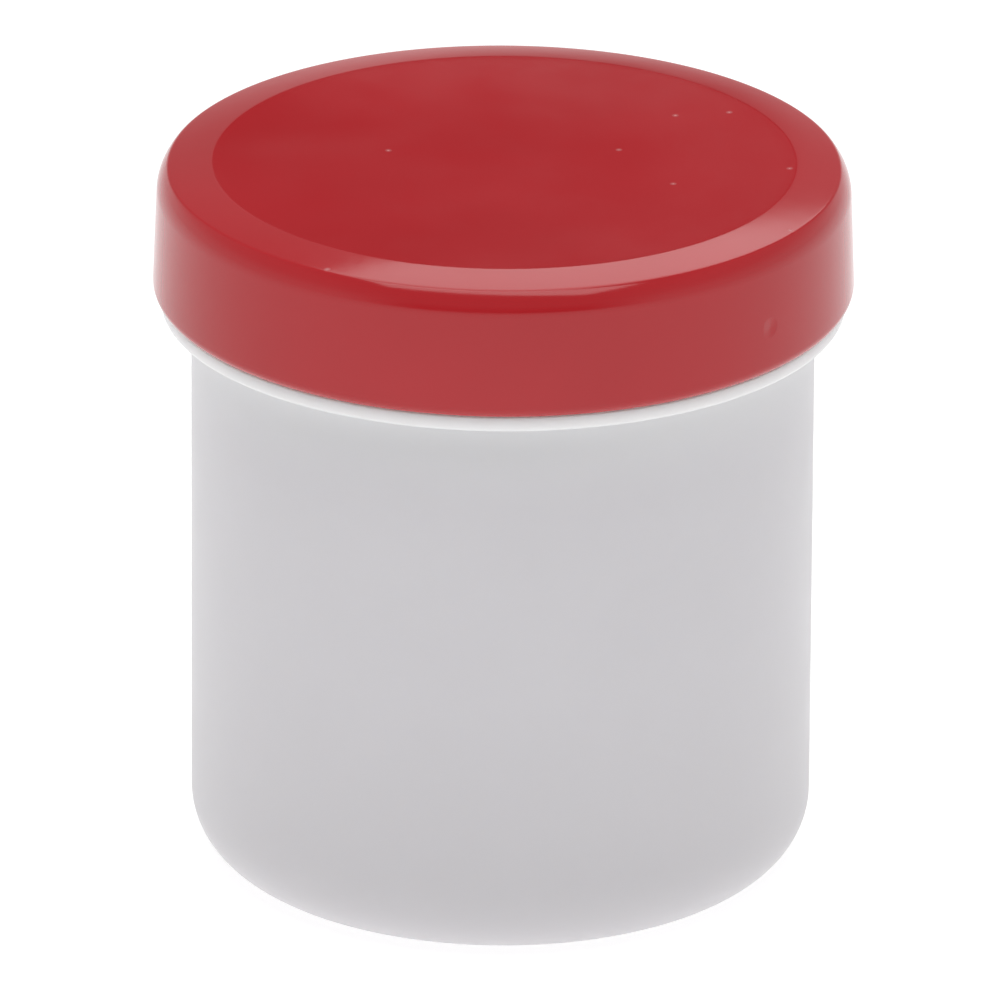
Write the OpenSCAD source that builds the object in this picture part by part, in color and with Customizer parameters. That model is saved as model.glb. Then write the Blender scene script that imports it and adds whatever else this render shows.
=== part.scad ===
// Straight-sided screw-top paint jar: a white jar with a collar and a threaded neck, a dished
// screw lid with a broad crowned rim, and the foam liner that seals the mouth.
// The origin is the middle of the foot, on the surface that the jar stands on, and +Z is up.
// Every piece is drawn with the lid screwed down.

/* [Jar] */
// Outside diameter of the straight wall and of the neck
body_d = 64; // [60:0.5:65]
// Height from the foot to the underside of the collar
body_h = 60.3; // [40:0.1:100]
// Thickness of the wall
wall_t = 1.4; // [1.0:0.1:2.0]
// Thickness of the floor above the foot ring
floor_t = 1.6; // [1.2:0.1:3.0]
// Outside radius between the wall and the base
base_round = 7; // [3:0.5:12]
// Width of the flat ring that the jar stands on
foot_w = 4; // [2:0.5:8]
// Height of the hollow under the base, inside the foot ring
foot_rise = 0.6; // [0.4:0.1:1.0]
// Outside diameter of the collar under the lid
collar_d = 70.2; // [68:0.2:71]
// Thickness of the collar
collar_t = 1.5; // [0.8:0.1:2.0]
// Radius on the collar's two outer edges
collar_round = 0.4; // [0.1:0.05:0.4]

/* [Lid] */
// Outside diameter of the lid at its lower edge
lid_d = 72; // [72:0.5:78]
// Height of the lid, from its lower edge to the crest of its rim
lid_h = 14.1; // [13:0.1:18]
// Angle by which the skirt leans inwards towards the top
skirt_draft = 2.2; // [0.5:0.1:4]
// Diameter of the crest, where the rim meets the dish
crest_d = 59.8; // [50:0.2:62]
// Radius on the crest
crest_round = 2; // [0.5:0.5:4]
// Angle at which the rim falls away from the crest
rim_slope_in = 5; // [2:0.5:6]
// Angle that the crowned rim has reached at its outer edge
rim_slope_out = 8; // [7:0.5:11]
// Radius on the rim's outer edge
edge_round = 0.5; // [0.2:0.1:1.0]
// Angle that the surface has reached where the edge gives way to the shoulder
edge_slope = 50; // [40:1:60]
// Radius of the shoulder, which runs from the rim's edge down to the skirt
shoulder_round = 4.2; // [2:0.1:5]
// Radius on the skirt's outer lower edge
hem_round = 1.3; // [0.4:0.1:1.7]
// Depth of the dish below the crest
dish_depth = 0.6; // [0.4:0.1:1.6]
// Thickness of the lid in the middle of the dish
top_t = 2.0; // [1.6:0.1:2.4]
// Gap between the skirt and the collar when the lid is closed
skirt_gap = 0.1; // [0.1:0.05:1.0]

/* [Liner] */
// Thickness of the foam liner
liner_t = 1.4; // [0.8:0.1:2.0]
// Gap between the liner and the lid's inner wall
liner_gap = 0.4; // [0.3:0.05:0.8]

/* [Thread] */
// Rise of the lid in one turn
pitch = 4.2; // [4.0:0.1:4.6]
// Length of the neck's thread, in turns
neck_turns = 1.25; // [0.75:0.05:1.3]
// Length of the lid's thread, in turns
lid_turns = 1.2; // [0.75:0.05:1.25]
// Height of the neck's thread
neck_thread_h = 1.2; // [0.9:0.05:1.3]
// Radial gap between the lid's thread and the neck
thread_gap = 0.6; // [0.4:0.05:0.7]
// Gap between the flanks that bear on each other when the lid is closed
flank_gap = 0.2; // [0.15:0.05:0.4]

/* [Hidden] */

WHITE_PLASTIC = [0.88, 0.88, 0.87];
RED_PLASTIC = [0.72, 0.09, 0.11];
WHITE_FOAM = [0.95, 0.95, 0.93];

// Facets of the turned shapes, which are true circles in the finished part
ROUND_FN = 144;
// Steps in a quarter turn of a rounded edge
ARC_STEPS = 6;
// Steps along each turn of a thread
THREAD_STEPS = 48;
// Part of a turn over which a thread rises out of its wall at each end
THREAD_RUN_OUT = 0.08;
// How far a thread is sunk into its own wall
THREAD_ROOT = 0.4;
// Width of a thread at its root and at its crest
THREAD_BASE_W = 2.3;
THREAD_CREST_W = 0.8;
// Number of points on the outline of a thread's tooth
TOOTH_POINTS = 4;

// Heights, from the foot up
collar_top = body_h + collar_t;
lid_bottom = collar_top + skirt_gap;
lid_top = lid_bottom + lid_h;
seat_z = lid_top - dish_depth - top_t;
mouth_z = seat_z - liner_t;

// Radii of the jar
wall_r = body_d / 2;
bore_r = wall_r - wall_t;
collar_r = collar_d / 2;
foot_r = wall_r - base_round;
lip_round = wall_t * 0.4;
collar_fillet = 0.5;
collar_root_r = wall_r - wall_t / 2;
// Stub that the moulding's gate leaves in the middle of the base
gate_r = 1.5;
gate_h = 0.3;

// Radii of the lid
lid_r = lid_d / 2;
crest_r = crest_d / 2;
neck_crest_gap = 0.8;
skirt_in_r = wall_r + neck_thread_h + neck_crest_gap;
lid_thread_h = skirt_in_r - wall_r - thread_gap;
lead_in = 0.4;
hem_r = min(hem_round, lid_r - skirt_in_r - lead_in / 2 - 0.1);

// Heights of the middle of each thread where it starts, at angle 0. The neck's thread ends just
// under the mouth. The lid's thread runs below it and bears on its lower flank, so that turning
// the lid pulls it down.
thread_top_margin = 0.4;
neck_thread_z = mouth_z - thread_top_margin - THREAD_BASE_W / 2 - pitch * neck_turns;
thread_overlap = neck_thread_h + lid_thread_h - (skirt_in_r - wall_r);
flank_lean = (THREAD_BASE_W - THREAD_CREST_W) / 2 / (neck_thread_h + THREAD_ROOT);
lid_thread_drop = THREAD_CREST_W + thread_overlap * flank_lean + flank_gap;
lid_thread_z = neck_thread_z - lid_thread_drop;

// Points on an arc around mid, from angle a0 to angle a1
function arc(mid, r, a0, a1, steps = ARC_STEPS) =
    [for (i = [0:steps]) let (a = a0 + (a1 - a0) * i / steps) mid + r * [cos(a), sin(a)]];

// The dish is part of a large sphere, drawn from the radius start_r in to the middle
dish_r = (crest_r * crest_r + dish_depth * dish_depth) / (2 * dish_depth);
dish_edge_angle = asin(crest_r / dish_r);
function dish_curve(start_r, steps) =
    [for (i = [0:steps])
        let (r = start_r * (1 - i / steps))
        [r, lid_top - dish_depth + dish_r - sqrt(dish_r * dish_r - r * r)]];

// From the crest outwards, the lid is three arcs that touch each other: the shallow rim, its edge
// and the shoulder. The rim's radius makes the shoulder touch the leaning skirt.
lean = tan(skirt_draft);
rim_turn = [sin(rim_slope_out) - sin(rim_slope_in), cos(rim_slope_out) - cos(rim_slope_in)];
edge_turn = [sin(edge_slope) - sin(rim_slope_out), cos(edge_slope) - cos(rim_slope_out)];
shoulder_turn = [cos(skirt_draft) - sin(edge_slope), sin(skirt_draft) - cos(edge_slope)];
below_rim = edge_round * edge_turn + shoulder_round * shoulder_turn;
rim_room = lid_r - crest_r - below_rim[0] - lean * (lid_h + below_rim[1]);
rim_r = rim_room / (rim_turn[0] + lean * rim_turn[1]);
rim_mid = [crest_r - rim_r * sin(rim_slope_in), lid_top - rim_r * cos(rim_slope_in)];
edge_mid = rim_mid + (rim_r - edge_round) * [sin(rim_slope_out), cos(rim_slope_out)];
shoulder_mid = edge_mid - (shoulder_round - edge_round) * [sin(edge_slope), cos(edge_slope)];

// Middle of the hem's arc, which touches the skirt and the lower edge
hem_mid = [lid_r - lean * hem_r - hem_r / cos(skirt_draft), lid_bottom + hem_r];

// Middle of the crest's arc, which touches the rim and the dish
crest_half = (rim_slope_in + dish_edge_angle) / 2;
crest_lean = (rim_slope_in - dish_edge_angle) / 2;
crest_reach = crest_round / cos(crest_half);
crest_mid = [crest_r - crest_reach * sin(crest_lean), lid_top - crest_reach * cos(crest_lean)];

// Outline of one tooth of a thread: depth is 1 at full height and 0 where it has run out, and
// side is 1 for a thread that stands outwards and -1 for one that stands inwards
function tooth(wall, h, side, depth) =
    let (crest = wall + side * (h * depth - (1 - depth) * THREAD_ROOT / 2))
    [
        [wall - side * THREAD_ROOT, -THREAD_BASE_W / 2],
        [crest, -THREAD_CREST_W / 2],
        [crest, THREAD_CREST_W / 2],
        [wall - side * THREAD_ROOT, THREAD_BASE_W / 2],
    ];

// How far the thread has risen out of its wall at turn t of a thread of the given length
function run_out(t, turns) = min(1, t / THREAD_RUN_OUT, (turns - t) / THREAD_RUN_OUT);

// A right-handed thread whose middle is at height z where it starts
module thread(wall, h, side, z, turns) {
    n = TOOTH_POINTS;
    steps = ceil(turns * THREAD_STEPS);
    rings = [for (i = [0:steps])
        let (t = turns * i / steps, a = 360 * t)
        [for (p = tooth(wall, h, side, max(0, run_out(t, turns))))
            [p[0] * cos(a), p[0] * sin(a), z + p[1] + pitch * t]]];
    order = [for (k = [0:n - 1]) side > 0 ? k : n - 1 - k];
    sides = [for (i = [0:steps - 1], k = [0:n - 1])
        let (a = order[k], b = order[(k + 1) % n])
        each [
            [i * n + a, i * n + b, (i + 1) * n + b],
            [i * n + a, (i + 1) * n + b, (i + 1) * n + a],
        ]];
    first_end = [for (k = [n - 1:-1:0]) order[k]];
    last_end = [for (k = [0:n - 1]) steps * n + order[k]];
    polyhedron(
        points = [for (ring = rings) each ring],
        faces = concat(sides, [first_end, last_end]),
        convexity = 6
    );
}

// Outline of the jar's wall, floor and neck, from the middle of the base outwards and up
module jar_outline() {
    inner_round = base_round - wall_t;
    lip_z = mouth_z - lip_round;
    polygon(concat(
        [[0, foot_rise], [foot_r - foot_w - foot_rise, foot_rise], [foot_r - foot_w, 0]],
        arc([foot_r, base_round], base_round, -90, 0, 2 * ARC_STEPS),
        arc([wall_r - lip_round, lip_z], lip_round, 0, 90),
        arc([bore_r + lip_round, lip_z], lip_round, 90, 180),
        arc([bore_r - inner_round, floor_t + inner_round], inner_round, 0, -90, 2 * ARC_STEPS),
        [[0, floor_t]]
    ));
}

// Outline of the collar, which starts inside the wall, with a fillet where it leaves it
module collar_outline() {
    edge_r = collar_r - collar_round;
    polygon(concat(
        [[collar_root_r, body_h - collar_fillet]],
        arc([wall_r + collar_fillet, body_h - collar_fillet], collar_fillet, 180, 90),
        arc([edge_r, body_h + collar_round], collar_round, -90, 0),
        arc([edge_r, collar_top - collar_round], collar_round, 0, 90),
        [[collar_root_r, collar_top]]
    ));
}

// Outline of the lid, from the middle of its underside outwards, round the rim and back
module lid_outline() {
    // An arc's own points stop short of an end that belongs to the arc beside it
    rim_step = (rim_slope_out - rim_slope_in) / ARC_STEPS;
    edge_step = (edge_slope - rim_slope_out) / ARC_STEPS;
    dish_start_r = crest_mid[0] - crest_round * sin(dish_edge_angle) - 0.5;
    polygon(concat(
        [[0, seat_z], [skirt_in_r, seat_z]],
        [[skirt_in_r, lid_bottom + lead_in], [skirt_in_r + lead_in / 2, lid_bottom]],
        arc(hem_mid, hem_r, -90, skirt_draft),
        arc(shoulder_mid, shoulder_round, skirt_draft, 90 - edge_slope),
        arc(edge_mid, edge_round, 90 - edge_slope + edge_step, 90 - rim_slope_out),
        arc(rim_mid, rim_r, 90 - rim_slope_out + rim_step, 90 - rim_slope_in - rim_step),
        arc(crest_mid, crest_round, 90 - rim_slope_in, 90 + dish_edge_angle),
        dish_curve(dish_start_r, 2 * ARC_STEPS)
    ));
}

module jar() {
    color(WHITE_PLASTIC) union() {
        rotate_extrude($fn = ROUND_FN) jar_outline();
        rotate_extrude($fn = ROUND_FN) collar_outline();
        translate([0, 0, foot_rise - gate_h]) cylinder(r = gate_r, h = 2 * gate_h, $fn = 48);
        thread(wall_r, neck_thread_h, 1, neck_thread_z, neck_turns);
    }
}

module lid() {
    color(RED_PLASTIC) union() {
        rotate_extrude($fn = ROUND_FN) lid_outline();
        thread(skirt_in_r, lid_thread_h, -1, lid_thread_z, lid_turns);
    }
}

module liner() {
    color(WHITE_FOAM)
        translate([0, 0, mouth_z])
            cylinder(r = skirt_in_r - liner_gap, h = liner_t, $fn = ROUND_FN);
}

jar();
lid();
liner();
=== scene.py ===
import math

import bpy
from mathutils import Matrix, Vector


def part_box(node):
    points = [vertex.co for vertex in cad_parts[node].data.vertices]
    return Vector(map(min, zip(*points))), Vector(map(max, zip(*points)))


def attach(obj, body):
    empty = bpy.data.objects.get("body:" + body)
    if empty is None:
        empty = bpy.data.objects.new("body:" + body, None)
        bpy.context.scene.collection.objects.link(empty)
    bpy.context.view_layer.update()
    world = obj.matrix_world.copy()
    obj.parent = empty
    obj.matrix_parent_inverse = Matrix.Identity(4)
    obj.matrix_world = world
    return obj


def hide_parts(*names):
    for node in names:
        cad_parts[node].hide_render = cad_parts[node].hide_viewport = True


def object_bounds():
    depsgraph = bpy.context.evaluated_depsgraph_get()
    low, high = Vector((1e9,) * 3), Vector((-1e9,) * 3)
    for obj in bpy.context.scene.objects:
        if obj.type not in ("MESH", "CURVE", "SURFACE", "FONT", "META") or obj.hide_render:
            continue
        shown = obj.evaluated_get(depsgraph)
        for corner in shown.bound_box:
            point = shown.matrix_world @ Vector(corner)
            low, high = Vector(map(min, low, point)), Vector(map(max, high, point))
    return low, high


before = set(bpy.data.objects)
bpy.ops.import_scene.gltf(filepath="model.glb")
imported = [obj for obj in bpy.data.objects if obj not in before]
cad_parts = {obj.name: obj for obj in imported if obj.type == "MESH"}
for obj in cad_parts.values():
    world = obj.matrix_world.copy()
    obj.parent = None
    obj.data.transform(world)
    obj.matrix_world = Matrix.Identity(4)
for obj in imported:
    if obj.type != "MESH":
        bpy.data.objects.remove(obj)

# A white straight-sided paint jar with a red screw lid. Its three pieces are turned shapes, so each
# is one closed outline swept round the axis, and the threads are raised on the swept surface.
# Lengths are in metres and angles in degrees, unless a name says otherwise.

MM = 0.001
CAD_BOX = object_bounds()
JAR_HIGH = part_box("jar")[1]
LID_LOW, LID_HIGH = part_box("lid")
LINER_LOW, LINER_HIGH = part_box("liner")

# ---- sizes of the jar --------------------------------------------------------------------------
WALL_R = 32.0 * MM
WALL_T = 1.4 * MM
FLOOR_T = 1.6 * MM
BASE_ROUND = 7.0 * MM
FOOT_W = 4.0 * MM
FOOT_RISE = 0.6 * MM
GATE_R = 1.5 * MM
GATE_H = 0.3 * MM
COLLAR_R = JAR_HIGH.x
COLLAR_ROUND = 0.4 * MM
COLLAR_TOP_ROUND = 0.15 * MM
COLLAR_FILLET = 0.5 * MM
# The collar comes a little nearer to the lid than in the CAD, so that no dark groove shows there
COLLAR_TOP = LID_LOW.z - 0.03 * MM
COLLAR_BOTTOM = LID_LOW.z - 1.6 * MM
MOUTH_Z = JAR_HIGH.z
LIP_ROUND = 0.4 * WALL_T
NECK_LOW_Z = COLLAR_TOP + 0.3 * MM

# ---- sizes of the lid --------------------------------------------------------------------------
LID_R = 36.0 * MM
SKIRT_IN_R = 34.0 * MM
SKIRT_DRAFT = 2.2
HEM_ROUND = 1.3 * MM
HEM_LEAD = 0.4 * MM
SHOULDER_ROUND = 4.2 * MM
EDGE_ROUND = 0.5 * MM
EDGE_SLOPE = 50.0
CREST_R = 29.9 * MM
CREST_ROUND = 2.0 * MM
RIM_SLOPE_IN = 5.0
RIM_SLOPE_OUT = 8.0
DISH_DEPTH = 0.6 * MM
LID_TOP = LID_HIGH.z
SEAT_Z = LINER_HIGH.z
SEAT_ROUND = 0.5 * MM

# ---- sizes of the thread -----------------------------------------------------------------------
PITCH = 4.2 * MM
NECK_TURNS = 1.25
LID_TURNS = 1.2
NECK_THREAD_H = 1.2 * MM
LID_THREAD_H = 1.4 * MM
THREAD_HALF_W = 0.95 * MM
THREAD_CREST_HALF_W = 0.4 * MM
NECK_THREAD_Z = MOUTH_Z - 1.55 * MM - PITCH * NECK_TURNS
LID_THREAD_Z = NECK_THREAD_Z - 1.28 * MM
THREAD_RUN_OUT = 0.08

# ---- fineness of the meshes --------------------------------------------------------------------
SEGMENTS = 240
ARC_STEP = 8.0
ROW = 1.2 * MM
THREAD_ROW = 0.13 * MM
SAME_RADIUS = 0.05 * MM

# ---- looks -------------------------------------------------------------------------------------
PLASTIC_IOR = 1.49
DENT_AT = Vector((27.0, -23.3, 67.2)) * MM
DENT_R = 1.1 * MM
SEAM_Y = 4 * MM
# Heights of the painted light on the collar and the wall under it
PAINTED_LIGHT_FROM_Z = 49 * MM
PAINTED_LIGHT_TO_Z = 59.5 * MM
# Heights of the painted shade towards the base
PAINTED_SHADE_FROM_Z = 30 * MM
PAINTED_SHADE_TO_Z = 9 * MM
FLOOR_R = 4.0
PANEL_TURN = -14.3

# Brightness of the studio against the height of a direction, from -1 (down) to 1 (up)
ALL_ROUND = [
    (-1, 0.9), (0.10, 0.9), (0.22, 0.50), (0.30, 0.32), (0.60, 0.25), (0.8, 0.36), (1, 0.36)
]
GAP = [
    (-1, 0.95), (0.08, 0.95), (0.20, 0.22), (0.27, 0.08), (0.44, 0.08), (0.6, 0.25),
    (0.8, 0.36), (1, 0.36),
]
FRONT = [
    (-1, 0.9), (-0.30, 0.9), (-0.18, 0.12), (0.05, 0.14), (0.30, 0.36), (0.65, 0.34), (1, 0.42)
]
SIDES = [(-1, 0.8), (0.10, 0.8), (0.35, 0.52), (0.75, 0.42), (1, 0.3)]


# ---- outlines ----------------------------------------------------------------------------------
def arc(mid, radius, start, end, step=ARC_STEP):
    """Points (r, z) on an arc around mid from angle start to angle end."""
    count = max(2, math.ceil(abs(end - start) / step))
    angles = [math.radians(start + (end - start) * i / count) for i in range(count + 1)]
    return [(mid[0] + radius * math.cos(a), mid[1] + radius * math.sin(a)) for a in angles]


def line(start, end, row=ROW):
    """Points (r, z) strictly between start and end, no more than a row apart."""
    count = max(1, math.ceil(math.dist(start, end) / row))
    return [
        tuple(a + (b - a) * i / count for a, b in zip(start, end)) for i in range(1, count)
    ]


def slope(angle):
    """Unit vector (r, z) that points straight out of a surface sloping down at this angle."""
    return Vector((math.sin(math.radians(angle)), math.cos(math.radians(angle))))


def joined(*runs, rows=None):
    """One outline from several runs of points, with the long gaps between them filled in."""
    rows = rows or {}
    outline = list(runs[0])
    for index, run in enumerate(runs[1:]):
        outline += line(outline[-1], run[0], rows.get(index, ROW)) + list(run)
    return outline


def jar_outline():
    """The jar's section: under the base, up the outside, over the lip and down the inside."""
    foot_out = WALL_R - BASE_ROUND
    foot_in = foot_out - FOOT_W
    bore = WALL_R - WALL_T
    inner_round = BASE_ROUND - WALL_T
    top_edge = (COLLAR_R - COLLAR_TOP_ROUND, COLLAR_TOP - COLLAR_TOP_ROUND)
    lip_z = MOUTH_Z - LIP_ROUND
    soft = 0.25 * MM
    return joined(
        [(0, FOOT_RISE - GATE_H), (GATE_R - 0.1 * MM, FOOT_RISE - GATE_H)],
        [(GATE_R, FOOT_RISE - GATE_H + 0.1 * MM), (GATE_R + 0.05 * MM, FOOT_RISE)],
        arc((foot_in - FOOT_RISE - soft, FOOT_RISE - soft), soft, 90, 45, 15),
        arc((foot_in + 0.4 * soft, soft), soft, 225, 270, 15),
        arc((foot_out, BASE_ROUND), BASE_ROUND, -90, 0, 5),
        arc((WALL_R + COLLAR_FILLET, COLLAR_BOTTOM - COLLAR_FILLET), COLLAR_FILLET, 180, 90, 15),
        arc((COLLAR_R - COLLAR_ROUND, COLLAR_BOTTOM + COLLAR_ROUND), COLLAR_ROUND, -90, 0, 15),
        arc(top_edge, COLLAR_TOP_ROUND, 0, 90, 15),
        arc((WALL_R + soft, COLLAR_TOP + soft), soft, 270, 180, 30),
        arc((WALL_R - LIP_ROUND, lip_z), LIP_ROUND, 0, 90, 15),
        arc((bore + LIP_ROUND, lip_z), LIP_ROUND, 90, 180, 15),
        arc((bore - inner_round, FLOOR_T + inner_round), inner_round, 0, -90, 6),
        [(0, FLOOR_T)],
        rows={8: THREAD_ROW},
    )


def lid_outline():
    """The lid's section: across the underside, down the inner wall, up the skirt and over."""
    lean = math.tan(math.radians(SKIRT_DRAFT))
    upright = math.cos(math.radians(SKIRT_DRAFT))

    # Three arcs that touch each other lead from the crest to the skirt: rim, edge and shoulder
    rim_in, rim_out, below_edge = slope(RIM_SLOPE_IN), slope(RIM_SLOPE_OUT), slope(EDGE_SLOPE)
    below_rim = EDGE_ROUND * (below_edge - rim_out)
    below_rim += SHOULDER_ROUND * (slope(90 - SKIRT_DRAFT) - below_edge)
    room = LID_R - CREST_R - below_rim.x - lean * (LID_TOP - LID_LOW.z + below_rim.y)
    rim_turn = rim_out - rim_in
    rim_r = room / (rim_turn.x + lean * rim_turn.y)
    rim_mid = Vector((CREST_R, LID_TOP)) - rim_r * rim_in
    edge_mid = rim_mid + (rim_r - EDGE_ROUND) * rim_out
    shoulder_mid = edge_mid - (SHOULDER_ROUND - EDGE_ROUND) * below_edge

    # The dish is part of a large sphere, and the crest's arc touches it and the rim
    dish_r = (CREST_R ** 2 + DISH_DEPTH ** 2) / (2 * DISH_DEPTH)
    dish_edge = math.degrees(math.asin(CREST_R / dish_r))
    half = math.radians((RIM_SLOPE_IN + dish_edge) / 2)
    tilt = math.radians((RIM_SLOPE_IN - dish_edge) / 2)
    reach = CREST_ROUND / math.cos(half)
    crest_mid = (CREST_R - reach * math.sin(tilt), LID_TOP - reach * math.cos(tilt))
    dish_mid = (0, LID_TOP - DISH_DEPTH + dish_r)

    hem_mid = (LID_R - lean * HEM_ROUND - HEM_ROUND / upright, LID_LOW.z + HEM_ROUND)
    seat_mid = (SKIRT_IN_R - SEAT_ROUND, SEAT_Z - SEAT_ROUND)
    lead = [(SKIRT_IN_R, LID_LOW.z + HEM_LEAD), (SKIRT_IN_R + HEM_LEAD / 2, LID_LOW.z)]
    return joined(
        [(0, SEAT_Z)],
        arc(seat_mid, SEAT_ROUND, 90, 0, 15),
        lead,
        arc(hem_mid, HEM_ROUND, -90, SKIRT_DRAFT),
        arc(shoulder_mid, SHOULDER_ROUND, SKIRT_DRAFT, 90 - EDGE_SLOPE, 2.5),
        arc(edge_mid, EDGE_ROUND, 90 - EDGE_SLOPE, 90 - RIM_SLOPE_OUT, 5)[1:],
        arc(rim_mid, rim_r, 90 - RIM_SLOPE_OUT, 90 - RIM_SLOPE_IN, 0.25)[1:-1],
        arc(crest_mid, CREST_ROUND, 90 - RIM_SLOPE_IN, 90 + dish_edge, 1.5),
        arc(dish_mid, dish_r, 270 + dish_edge, 270, 0.25)[1:],
        rows={1: THREAD_ROW},
    )


def liner_outline():
    """The liner's section, with the shallow groove that the jar's lip presses into it."""
    soft = 0.3 * MM
    radius = LINER_HIGH.x
    low, high = LINER_LOW.z, LINER_HIGH.z
    groove_r = WALL_R - WALL_T / 2
    groove_half_w = 0.9 * MM
    groove_depth = 0.12 * MM
    groove = []
    for i in range(13):
        across = i / 6 - 1
        depth = groove_depth * math.cos(across * math.pi / 2) ** 2
        groove.append((groove_r + across * groove_half_w, low + depth))
    return joined(
        [(0, low)],
        groove,
        arc((radius - soft, low + soft), soft, -90, 0, 15),
        arc((radius - soft, high - soft), soft, 0, 90, 15),
        [(0, high)],
    )


# ---- meshes ------------------------------------------------------------------------------------
def thread_rise(angle, z, start_z, turns, height):
    """How far a right-handed thread stands out of its wall at an angle (in turns) and a height."""
    best = 0.0
    turn = angle % 1.0
    while turn <= turns:
        away = abs(z - start_z - PITCH * turn)
        flank = (THREAD_HALF_W - away) / (THREAD_HALF_W - THREAD_CREST_HALF_W)
        flank = min(1.0, max(0.0, flank))
        ends = min(1.0, max(0.0, min(turn, turns - turn) / THREAD_RUN_OUT))
        best = max(best, height * flank * ends * ends * (3 - 2 * ends))
        turn += 1.0
    return best


def turned(name, outline, displaced=None):
    """A closed mesh of the outline swept round the axis. Both ends of the outline lie on the axis.
    displaced(angle in turns, r, z) gives the radius to use in place of r."""
    rings = outline[1:-1]
    verts = [(0, 0, outline[0][1]), (0, 0, outline[-1][1])]
    for r, z in rings:
        for i in range(SEGMENTS):
            turn = i / SEGMENTS
            radius = displaced(turn, r, z) if displaced else r
            a = 2 * math.pi * turn
            verts.append((radius * math.cos(a), radius * math.sin(a), z))
    faces = []
    last = 2 + (len(rings) - 1) * SEGMENTS
    for i in range(SEGMENTS):
        j = (i + 1) % SEGMENTS
        faces.append((0, 2 + j, 2 + i))
        faces.append((1, last + i, last + j))
        for k in range(len(rings) - 1):
            a, b = 2 + k * SEGMENTS, 2 + (k + 1) * SEGMENTS
            faces.append((a + i, a + j, b + j, b + i))
    mesh = bpy.data.meshes.new(name)
    mesh.from_pydata(verts, [], faces)
    mesh.validate()
    mesh.shade_smooth()
    piece = bpy.data.objects.new(name, mesh)
    bpy.context.scene.collection.objects.link(piece)
    return piece


def jar_surface(turn, r, z):
    """The neck's outside carries the thread. Everything else keeps its radius."""
    if abs(r - WALL_R) > SAME_RADIUS or z < NECK_LOW_Z:
        return r
    return r + thread_rise(turn, z, NECK_THREAD_Z, NECK_TURNS, NECK_THREAD_H)


def lid_surface(turn, r, z):
    """The skirt's inner wall carries the thread. Everything else keeps its radius."""
    if abs(r - SKIRT_IN_R) > SAME_RADIUS:
        return r
    return r - thread_rise(turn, z, LID_THREAD_Z, LID_TURNS, LID_THREAD_H)


# ---- materials ---------------------------------------------------------------------------------
class Shader:
    """A material with a Principled shader, and short ways to add and link its nodes."""

    def __init__(self, name):
        self.mat = bpy.data.materials.new(name)
        self.mat.use_nodes = True
        self.tree = self.mat.node_tree
        self.bsdf = self.tree.nodes["Principled BSDF"]
        self.coords = self.tree.nodes.new("ShaderNodeTexCoord").outputs["Object"]

    def put(self, socket, value):
        if isinstance(value, bpy.types.NodeSocket):
            self.tree.links.new(value, socket)
        else:
            socket.default_value = value

    def node(self, kind, inputs=None, **settings):
        made = self.tree.nodes.new(kind)
        for key, value in settings.items():
            setattr(made, key, value)
        for key, value in (inputs or {}).items():
            self.put(made.inputs[key], value)
        return made

    def maths(self, operation, a, b=0.0):
        return self.node("ShaderNodeMath", {0: a, 1: b}, operation=operation).outputs[0]

    def noise(self, scale, detail=2.0, rough=0.5, coords=None):
        values = {"Vector": coords or self.coords, "Scale": scale, "Detail": detail}
        values["Roughness"] = rough
        return self.node("ShaderNodeTexNoise", values).outputs["Fac"]

    def ramp(self, value, low, high, to_low=0.0, to_high=1.0):
        values = {"Value": value, "From Min": low, "From Max": high}
        values.update({"To Min": to_low, "To Max": to_high})
        return self.node("ShaderNodeMapRange", values).outputs["Result"]

    def mix(self, factor, a, b):
        made = self.node("ShaderNodeMix", data_type="RGBA")
        self.put(made.inputs[0], factor)
        self.put(made.inputs[6], a)
        self.put(made.inputs[7], b)
        return made.outputs[2]

    def bump(self, height, depth, strength=1.0, normal=None):
        values = {"Height": height, "Distance": depth, "Strength": strength}
        if normal:
            values["Normal"] = normal
        return self.node("ShaderNodeBump", values).outputs["Normal"]

    def finish(self, **inputs):
        for key, value in inputs.items():
            self.put(self.bsdf.inputs[key.replace("_", " ")], value)
        return self.mat


def lid_material():
    """Glossy red plastic with a faint flow, a little orange peel and a few specks of dust."""
    s = Shader("red_gloss_plastic")
    flow = s.noise(35, 3)
    colour = s.mix(s.ramp(flow, 0.3, 0.7), (0.412, 0.0092, 0.0140, 1), (0.450, 0.0121, 0.0180, 1))

    # Dust: one small dot in a few cells of a coarse flat pattern, on faces that look up
    cells = s.node(
        "ShaderNodeTexVoronoi", {"Vector": s.coords, "Scale": 170}, voronoi_dimensions="2D"
    )
    dot = s.ramp(cells.outputs["Distance"], 0.01, 0.07, 1.0, 0.0)
    chosen = s.node("ShaderNodeSeparateColor", {0: cells.outputs["Color"]}).outputs[0]
    few = s.maths("GREATER_THAN", chosen, 0.93)
    normal = s.tree.nodes.new("ShaderNodeNewGeometry").outputs["Normal"]
    upward = s.node("ShaderNodeSeparateXYZ", {0: normal}).outputs[2]
    dust = s.maths("MULTIPLY", s.maths("MULTIPLY", dot, few), s.ramp(upward, 0.7, 0.9))
    dust = s.maths("MULTIPLY", dust, 0.20)
    colour = s.mix(dust, colour, (0.75, 0.60, 0.60, 1))

    rough = s.ramp(s.noise(60, 4), 0.3, 0.7, 0.10, 0.16)
    rough = s.maths("ADD", rough, s.maths("MULTIPLY", dust, 0.8))
    peel = s.bump(s.noise(420, 2), 0.03 * MM, 0.25)

    # A small dent that moulding left on the skirt, to the right of the front
    ends = {0: s.coords, 1: DENT_AT}
    away = s.node("ShaderNodeVectorMath", ends, operation="DISTANCE").outputs["Value"]
    dent = s.ramp(away, 0.2 * MM, DENT_R)
    normal = s.bump(dent, 0.15 * MM, 0.8, peel)
    return s.finish(Base_Color=colour, Roughness=rough, Normal=normal, IOR=PLASTIC_IOR)


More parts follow.
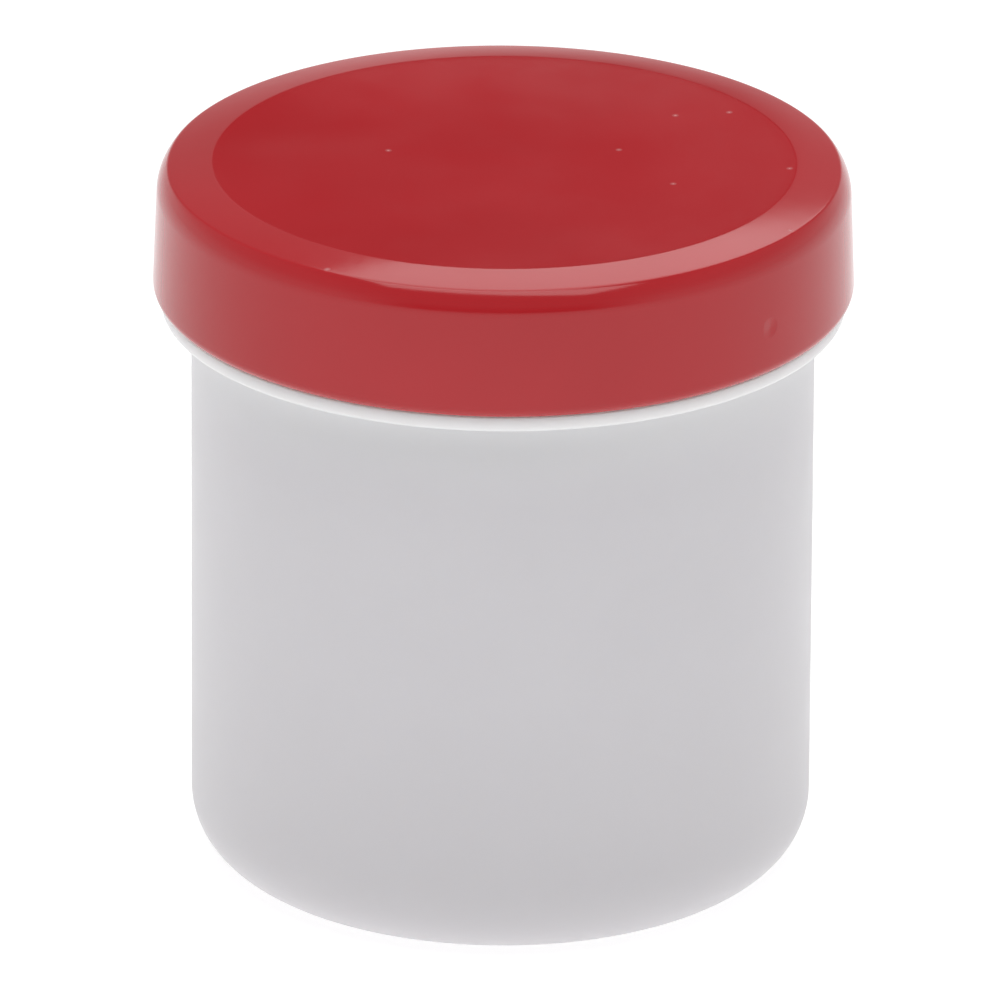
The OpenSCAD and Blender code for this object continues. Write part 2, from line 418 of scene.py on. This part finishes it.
def jar_material():
    """White satin plastic, slightly see-through to light, with faint clouds and a parting line."""
    s = Shader("white_satin_plastic")
    clouds = s.noise(45, 5, 0.6)
    colour = s.mix(s.ramp(clouds, 0.3, 0.7), (0.668, 0.647, 0.673, 1), (0.688, 0.667, 0.693, 1))

    # Painted light round the collar and the wall under it, and painted shade towards the base
    place = s.node("ShaderNodeSeparateXYZ", {0: s.coords}).outputs
    # Painted shade: the colour darkens towards the base
    grey = s.ramp(place[2], PAINTED_SHADE_FROM_Z, PAINTED_SHADE_TO_Z)
    colour = s.mix(grey, colour, (0.630, 0.610, 0.632, 1))
    # Painted light: the colour lightens towards the collar, where the lid and collar cast shade
    painted_light = s.maths("POWER", s.ramp(place[2], PAINTED_LIGHT_FROM_Z, PAINTED_LIGHT_TO_Z), 2.0)
    colour = s.mix(painted_light, colour, (0.820, 0.812, 0.820, 1))
    rough = s.ramp(s.noise(80, 4), 0.3, 0.7, 0.33, 0.42)
    grain = s.bump(s.noise(1500, 3), 0.01 * MM, 0.35)

    # The mould parts along a line up each side, just behind the widest point
    away = s.maths("ABSOLUTE", s.maths("SUBTRACT", place[1], SEAM_Y))
    seam = s.ramp(away, 0.05 * MM, 0.16 * MM, 1.0, 0.0)
    normal = s.bump(seam, 0.04 * MM, 0.6, grain)
    s.bsdf.subsurface_method = "RANDOM_WALK"
    return s.finish(
        Base_Color=colour,
        Roughness=rough,
        Normal=normal,
        IOR=PLASTIC_IOR,
        Subsurface_Weight=0.7,
        Subsurface_Radius=(1.0, 0.95, 0.9),
        Subsurface_Scale=4.0 * MM,
    )


def liner_material():
    """White closed-cell foam: small soft cells under a matt skin."""
    s = Shader("white_foam")
    cells = s.node("ShaderNodeTexVoronoi", {"Vector": s.coords, "Scale": 1500})
    cell = cells.outputs["Distance"]
    tone = s.ramp(s.noise(300, 3), 0.3, 0.7)
    colour = s.mix(tone, (0.80, 0.80, 0.77, 1), (0.86, 0.86, 0.84, 1))
    rough = s.ramp(cell, 0.0, 0.8, 0.65, 0.85)
    normal = s.bump(cell, 0.08 * MM, 0.5)
    return s.finish(Base_Color=colour, Roughness=rough, Normal=normal)


def floor_material():
    """Pale floor, lit a little from below like a light table."""
    s = Shader("pale_floor")
    tone = s.ramp(s.noise(3, 2), 0.3, 0.7)
    colour = s.mix(tone, (0.45, 0.45, 0.45, 1), (0.47, 0.47, 0.47, 1))
    return s.finish(
        Base_Color=colour, Roughness=0.6, Emission_Color=(1, 1, 1, 1), Emission_Strength=0.71
    )


# ---- pieces ------------------------------------------------------------------------------------
def make_piece(name, node, outline, material, displaced=None):
    piece = turned(name, outline, displaced)
    piece.data.materials.append(material)
    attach(piece, node)
    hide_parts(node)
    return piece


make_piece("jar_shell", "jar", jar_outline(), jar_material(), jar_surface)
make_piece("lid_shell", "lid", lid_outline(), lid_material(), lid_surface)
make_piece("liner_disc", "liner", liner_outline(), liner_material())


# ---- floor, lights and camera ------------------------------------------------------------------
def make_floor():
    mesh = bpy.data.meshes.new("floor")
    count = 96
    angles = [2 * math.pi * i / count for i in range(count)]
    z = CAD_BOX[0].z
    mesh.from_pydata(
        [(FLOOR_R * math.cos(a), FLOOR_R * math.sin(a), z) for a in angles], [], [range(count)]
    )
    floor = bpy.data.objects.new("floor", mesh)
    floor.data.materials.append(floor_material())
    bpy.context.scene.collection.objects.link(floor)


def make_panel(name, corner, width, length, radiance):
    """A level light over the lid. Its far left corner bounds the highlight on the rim."""
    turn = Matrix.Rotation(math.radians(PANEL_TURN), 4, "Z")
    light = bpy.data.lights.new(name, "AREA")
    light.shape = "RECTANGLE"
    light.size, light.size_y = width, length
    light.energy = radiance * math.pi * width * length
    lamp = bpy.data.objects.new(name, light)
    middle = Vector(corner) + turn @ Vector((width, -length, 0)) / 2
    lamp.matrix_world = Matrix.Translation(middle) @ turn
    bpy.context.scene.collection.objects.link(lamp)


class Sky:
    """The world's shader, and short ways to grade its brightness by direction."""

    def __init__(self, name):
        world = bpy.data.worlds.new(name)
        bpy.context.scene.world = world
        world.use_nodes = True
        self.tree = world.node_tree
        self.background = self.tree.nodes["Background"]
        coords = self.tree.nodes.new("ShaderNodeTexCoord")
        split = self.tree.nodes.new("ShaderNodeSeparateXYZ")
        self.link(coords.outputs["Generated"], split.inputs[0])
        self.across, self.away, self.height = split.outputs

    def link(self, output, socket):
        self.tree.links.new(output, socket)

    def maths(self, operation, *values):
        node = self.tree.nodes.new("ShaderNodeMath")
        node.operation = operation
        for index, value in enumerate(values):
            self.link(value, node.inputs[index])
        return node.outputs[0]

    def ease(self, value, start, end):
        """0 where value is at start, 1 where it is at end, and clamped beyond them."""
        node = self.tree.nodes.new("ShaderNodeMapRange")
        node.inputs["From Min"].default_value = start
        node.inputs["From Max"].default_value = end
        self.link(value, node.inputs["Value"])
        return node.outputs["Result"]

    def bands(self, stops):
        """A grey ramp over the height of a direction, through these (height, brightness) stops."""
        ramp = self.tree.nodes.new("ShaderNodeValToRGB")
        bands = ramp.color_ramp.elements
        for index, (at, value) in enumerate(stops):
            band = bands[index] if index < len(bands) else bands.new(1.0)
            band.position = (at + 1) / 2
            band.color = (value, value, value, 1)
        self.link(self.ease(self.height, -1, 1), ramp.inputs[0])
        return ramp.outputs[0]

    def blend(self, factor, a, b):
        node = self.tree.nodes.new("ShaderNodeMix")
        node.data_type = "RGBA"
        for index, source in ((0, factor), (6, a), (7, b)):
            self.link(source, node.inputs[index])
        return node.outputs[2]


def make_world():
    """A pale studio: bright low down, dimmer above that, darker in front and in one gap behind."""
    sky = Sky("studio")
    from_left = sky.ease(sky.across, -0.034, -0.002)
    from_right = sky.ease(sky.across, 0.085, 0.045)
    inside = sky.maths("MULTIPLY", from_left, from_right)
    glow = sky.blend(inside, sky.bands(ALL_ROUND), sky.bands(GAP))
    glow = sky.blend(sky.ease(sky.away, -0.2, -0.6), glow, sky.bands(FRONT))
    beside = sky.ease(sky.maths("ABSOLUTE", sky.across), 0.45, 0.80)
    glow = sky.blend(beside, glow, sky.bands(SIDES))
    sky.link(glow, sky.background.inputs["Color"])


def make_camera():
    lens = 680.0
    distance = 1.948
    elevation = math.radians(22.48)
    roll = math.radians(0.35)
    middle = Vector((0, 0, 34 * MM))
    aim = Vector((-0.22 * MM, 0, 38.5 * MM))
    data = bpy.data.cameras.new("camera")
    data.lens = lens
    data.clip_end = 20
    camera = bpy.data.objects.new("camera", data)
    back = Vector((0, -math.cos(elevation), math.sin(elevation)))
    place = middle + distance * back
    turn = (aim - place).to_track_quat("-Z", "Y").to_matrix().to_4x4()
    camera.matrix_world = Matrix.Translation(place) @ turn @ Matrix.Rotation(roll, 4, "Z")
    bpy.context.scene.collection.objects.link(camera)
    bpy.context.scene.camera = camera


make_floor()
make_world()
make_panel("softbox", (0.005, 1.09, 0.62), 0.45, 1.30, 1.55)
make_panel("front_panel", (-0.316, -0.090, 0.61), 0.75, 0.30, 2.4)
make_camera()
bpy.context.scene.view_settings.view_transform = "Standard"
